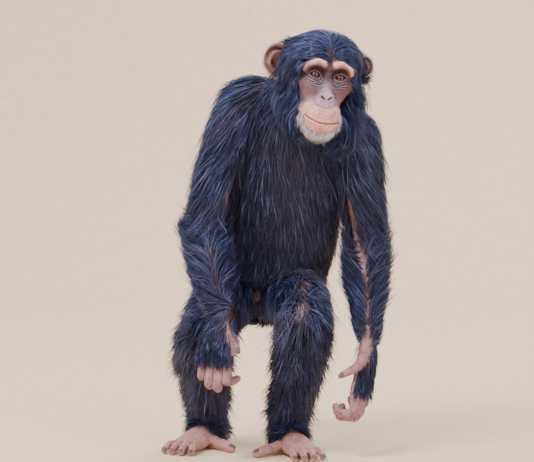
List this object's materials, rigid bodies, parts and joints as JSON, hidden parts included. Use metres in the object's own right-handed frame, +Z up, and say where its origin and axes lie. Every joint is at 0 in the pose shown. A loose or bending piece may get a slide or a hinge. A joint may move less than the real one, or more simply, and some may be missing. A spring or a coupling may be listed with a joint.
{
  "type": "chimpanzee",
  "caption": "Young chimpanzee standing upright on bent legs with its arms hanging, life size, as a still model.",
  "frame": {"origin": "middle of the animal's bounding box on the floor, under its soles", "axes": "+Z up, -Y the way the animal faces, +X to its own left"},
  "size_m": [0.415, 0.4024, 0.7561],
  "materials": {
    "black_coat": "long glossy black hair",
    "white_beard": "short white hair",
    "face_skin": "bare skin, matt",
    "ear_skin": "bare skin, matt",
    "hand_skin": "bare wrinkled skin, matt",
    "eye_brown": "wet gloss"
  },
  "bodies": {
    "root": {"head": "black_coat", "neck": "black_coat", "chest": "black_coat", "belly": "black_coat", "hips": "black_coat", "face": "face_skin", "beard": "white_beard", "upper_arm_right": "black_coat", "forearm_right": "black_coat", "thigh_right": "black_coat", "shin_right": "black_coat", "eye_right": "eye_brown", "ear_right": "ear_skin", "hand_right": "hand_skin", "thumb_right": "hand_skin", "index_finger_right": "hand_skin", "middle_finger_right": "hand_skin", "ring_finger_right": "hand_skin", "little_finger_right": "hand_skin", "foot_right": "hand_skin", "great_toe_right": "hand_skin", "second_toe_right": "hand_skin", "third_toe_right": "hand_skin", "fourth_toe_right": "hand_skin", "fifth_toe_right": "hand_skin", "upper_arm_left": "black_coat", "forearm_left": "black_coat", "thigh_left": "black_coat", "shin_left": "black_coat", "eye_left": "eye_brown", "ear_left": "ear_skin", "hand_left": "hand_skin", "thumb_left": "hand_skin", "index_finger_left": "hand_skin", "middle_finger_left": "hand_skin", "ring_finger_left": "hand_skin", "little_finger_left": "hand_skin", "foot_left": "hand_skin", "great_toe_left": "hand_skin", "second_toe_left": "hand_skin", "third_toe_left": "hand_skin", "fourth_toe_left": "hand_skin", "fifth_toe_left": "hand_skin"}
  },
  "joints": []
}
